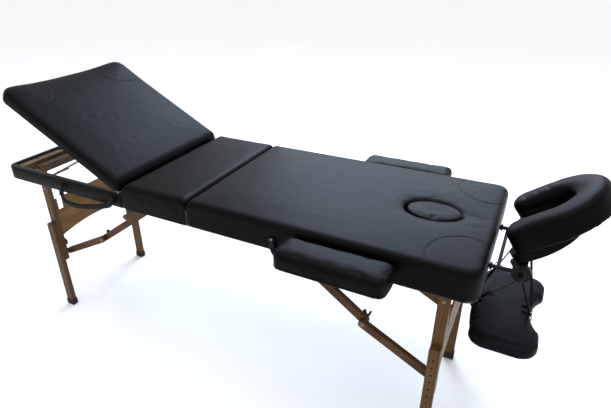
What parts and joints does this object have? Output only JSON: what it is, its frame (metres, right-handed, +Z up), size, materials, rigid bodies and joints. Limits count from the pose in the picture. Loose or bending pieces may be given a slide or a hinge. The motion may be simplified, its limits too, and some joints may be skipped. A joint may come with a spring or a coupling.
{
  "type": "portable massage table",
  "caption": "Folding wooden massage table with tilting backrest, padded seat and body sections with face hole, armrests, tilting face cradle and hanging arm shelf",
  "frame": {"origin": "centre of the outline on the floor, under the middle of the set-up table", "axes": "+X points to the face-cradle end, -X to the backrest end, +Y to the rear side, +Z up"},
  "size_m": [2.1178, 0.83, 1.048],
  "materials": {
    "beech_wood": "stained and lacquered",
    "brace_wood": "stained and lacquered",
    "plywood": "lacquered",
    "black_vinyl": "soft grained vinyl",
    "black_webbing": "woven",
    "brass_steel": "plated",
    "zinc_steel": "zinc plated",
    "black_steel": "satin black",
    "black_plastic": "moulded",
    "black_board": "painted black",
    "black_rubber": "moulded"
  },
  "bodies": {
    "long_half": {"long_side_rails": "beech_wood", "long_cross_rails": "beech_wood", "long_deck": "plywood", "long_pad": "black_vinyl", "long_skirt": "black_vinyl", "long_socket_blocks": "beech_wood", "long_hinge_leaf": "brass_steel", "long_leg_pivot_rod": "brass_steel", "long_brace_anchors": "zinc_steel"},
    "fold_pins": {"fold_hinge_pins": "brass_steel"},
    "back_half": {"back_side_rails": "beech_wood", "back_cross_rails": "beech_wood", "seat_deck": "plywood", "seat_pad": "black_vinyl", "back_side_vinyl": "black_vinyl", "back_socket_blocks": "beech_wood", "back_hinge_leaves": "brass_steel", "prop_racks": "beech_wood", "back_carry_strap": "black_webbing", "back_leg_pivot_rod": "brass_steel", "back_brace_anchors": "zinc_steel"},
    "face_hole_plug": {"face_hole_plug": "black_vinyl"},
    "armrest_front": {"armrest_front_pad": "black_vinyl", "armrest_front_bracket": "black_steel"},
    "armrest_rear": {"armrest_rear_pad": "black_vinyl", "armrest_rear_bracket": "black_steel"},
    "backrest": {"backrest_board": "plywood", "backrest_pad": "black_vinyl", "backrest_hinge_leaf": "brass_steel"},
    "backrest_prop": {"backrest_prop": "black_steel"},
    "cradle_frame": {"cradle_frame": "black_steel"},
    "cradle_platform": {"cradle_platform": "black_board"},
    "face_cushion": {"face_cushion": "black_vinyl"},
    "cam_lever": {"cam_lever": "black_plastic"},
    "arm_shelf": {"arm_shelf": "black_vinyl", "shelf_straps": "black_webbing"},
    "long_legs": {"long_upper_legs": "beech_wood", "long_head_rail": "beech_wood", "long_leg_panel": "plywood", "long_brace_pins": "zinc_steel"},
    "long_upper_braces": {"long_upper_braces": "brace_wood"},
    "long_lower_braces": {"long_lower_braces": "brace_wood"},
    "long_lower_leg_front": {"long_lower_leg_front": "beech_wood", "long_foot_front": "black_rubber"},
    "long_leg_knob_front": {"long_leg_knob_front": "black_plastic"},
    "long_lower_leg_rear": {"long_lower_leg_rear": "beech_wood", "long_foot_rear": "black_rubber"},
    "long_leg_knob_rear": {"long_leg_knob_rear": "black_plastic"},
    "back_legs": {"back_upper_legs": "beech_wood", "back_head_rail": "beech_wood", "back_leg_panel": "plywood", "back_brace_pins": "zinc_steel"},
    "back_upper_braces": {"back_upper_braces": "brace_wood"},
    "back_lower_braces": {"back_lower_braces": "brace_wood"},
    "back_lower_leg_front": {"back_lower_leg_front": "beech_wood", "back_foot_front": "black_rubber"},
    "back_leg_knob_front": {"back_leg_knob_front": "black_plastic"},
    "back_lower_leg_rear": {"back_lower_leg_rear": "beech_wood", "back_foot_rear": "black_rubber"},
    "back_leg_knob_rear": {"back_leg_knob_rear": "black_plastic"}
  },
  "joints": [
    {"name": "fold_first_half", "type": "hinge", "parent": "long_half", "child": "fold_pins", "pos_m": [-0.1339, 0, 0.6695], "axis": [0, -1, 0], "range_deg": [0, 90]},
    {"name": "fold_second_half", "type": "hinge", "parent": "fold_pins", "child": "back_half", "pos_m": [-0.1339, 0, 0.6695], "axis": [0, -1, 0], "range_deg": [0, 90]},
    {"name": "face_hole_plug_lift", "type": "slide", "parent": "long_half", "child": "face_hole_plug", "axis": [0, 0, 1], "range_m": [0, 0.08]},
    {"name": "armrest_front_pull", "type": "slide", "parent": "long_half", "child": "armrest_front", "axis": [0, -1, 0], "range_m": [0, 0.056]},
    {"name": "armrest_rear_pull", "type": "slide", "parent": "long_half", "child": "armrest_rear", "axis": [0, 1, 0], "range_m": [0, 0.056]},
    {"name": "backrest_tilt", "type": "hinge", "parent": "back_half", "child": "backrest", "pos_m": [-0.4339, 0, 0.715], "axis": [0, 1, 0], "range_deg": [-27.5, 16.5]},
    {"name": "prop_turn", "type": "hinge", "parent": "backrest", "child": "backrest_prop", "pos_m": [-0.62461, 0, 0.81428], "axis": [0, 1, 0], "range_deg": [-33, 55]},
    {"name": "cradle_slide", "type": "slide", "parent": "long_half", "child": "cradle_frame", "axis": [1, 0, 0], "range_m": [0, 0.05]},
    {"name": "cradle_tilt", "type": "hinge", "parent": "cradle_frame", "child": "cradle_platform", "pos_m": [0.8741, 0, 0.693], "axis": [0, -1, 0], "range_deg": [-40, 8]},
    {"name": "cushion_lift", "type": "slide", "parent": "cradle_platform", "child": "face_cushion", "axis": [-0.5878, 0, 0.809], "range_m": [0, 0.04]},
    {"name": "cam_turn", "type": "hinge", "parent": "cradle_frame", "child": "cam_lever", "pos_m": [0.8741, 0, 0.693], "axis": [0, -1, 0], "range_deg": [0, 80]},
    {"name": "shelf_swing", "type": "hinge", "parent": "cradle_frame", "child": "arm_shelf", "pos_m": [0.8741, 0, 0.693], "axis": [0, 1, 0], "range_deg": [-12, 8]},
    {"name": "long_leg_fold", "type": "hinge", "parent": "long_half", "child": "long_legs", "pos_m": [0.7011, 0, 0.691], "axis": [0, 1, 0], "range_deg": [0, 90]},
    {"name": "long_upper_brace_turn", "type": "hinge", "parent": "long_half", "child": "long_upper_braces", "pos_m": [0.0361, 0, 0.694], "axis": [0, -1, 0], "range_deg": [0, 36.4]},
    {"name": "long_lower_brace_turn", "type": "hinge", "parent": "long_legs", "child": "long_lower_braces", "pos_m": [0.6981, 0, 0.271], "axis": [0, 1, 0], "range_deg": [0, 63.8]},
    {"name": "long_leg_length_front", "type": "slide", "parent": "long_legs", "child": "long_lower_leg_front", "axis": [0, 0, -1], "range_m": [-0.11, 0.07]},
    {"name": "long_knob_turn_front", "type": "hinge", "parent": "long_legs", "child": "long_leg_knob_front", "pos_m": [0.7011, 0, 0.325], "axis": [0, 1, 0], "continuous": true},
    {"name": "long_leg_length_rear", "type": "slide", "parent": "long_legs", "child": "long_lower_leg_rear", "axis": [0, 0, -1], "range_m": [-0.11, 0.07]},
    {"name": "long_knob_turn_rear", "type": "hinge", "parent": "long_legs", "child": "long_leg_knob_rear", "pos_m": [0.7011, 0, 0.325], "axis": [0, 1, 0], "continuous": true},
    {"name": "back_leg_fold", "type": "hinge", "parent": "back_half", "child": "back_legs", "pos_m": [-0.9689, 0, 0.691], "axis": [0, -1, 0], "range_deg": [0, 90]},
    {"name": "back_upper_brace_turn", "type": "hinge", "parent": "back_half", "child": "back_upper_braces", "pos_m": [-0.3039, 0, 0.694], "axis": [0, 1, 0], "range_deg": [0, 36.4]},
    {"name": "back_lower_brace_turn", "type": "hinge", "parent": "back_legs", "child": "back_lower_braces", "pos_m": [-0.9659, 0, 0.271], "axis": [0, -1, 0], "range_deg": [0, 63.8]},
    {"name": "back_leg_length_front", "type": "slide", "parent": "back_legs", "child": "back_lower_leg_front", "axis": [0, 0, -1], "range_m": [-0.11, 0.07]},
    {"name": "back_knob_turn_front", "type": "hinge", "parent": "back_legs", "child": "back_leg_knob_front", "pos_m": [-0.9689, 0, 0.325], "axis": [0, 1, 0], "continuous": true},
    {"name": "back_leg_length_rear", "type": "slide", "parent": "back_legs", "child": "back_lower_leg_rear", "axis": [0, 0, -1], "range_m": [-0.11, 0.07]},
    {"name": "back_knob_turn_rear", "type": "hinge", "parent": "back_legs", "child": "back_leg_knob_rear", "pos_m": [-0.9689, 0, 0.325], "axis": [0, 1, 0], "continuous": true}
  ],
  "couplings": [
    {"joint": "prop_turn", "follows": "backrest_tilt", "ratio": -2},
    {"joint": "long_leg_fold", "follows": "fold_first_half", "ratio": 1},
    {"joint": "long_upper_brace_turn", "follows": "fold_first_half", "ratio": 0.39316},
    {"joint": "long_lower_brace_turn", "follows": "fold_first_half", "ratio": 0.69745},
    {"joint": "back_leg_fold", "follows": "fold_first_half", "ratio": 1},
    {"joint": "back_upper_brace_turn", "follows": "fold_first_half", "ratio": 0.39316},
    {"joint": "back_lower_brace_turn", "follows": "fold_first_half", "ratio": 0.69745}
  ]
}
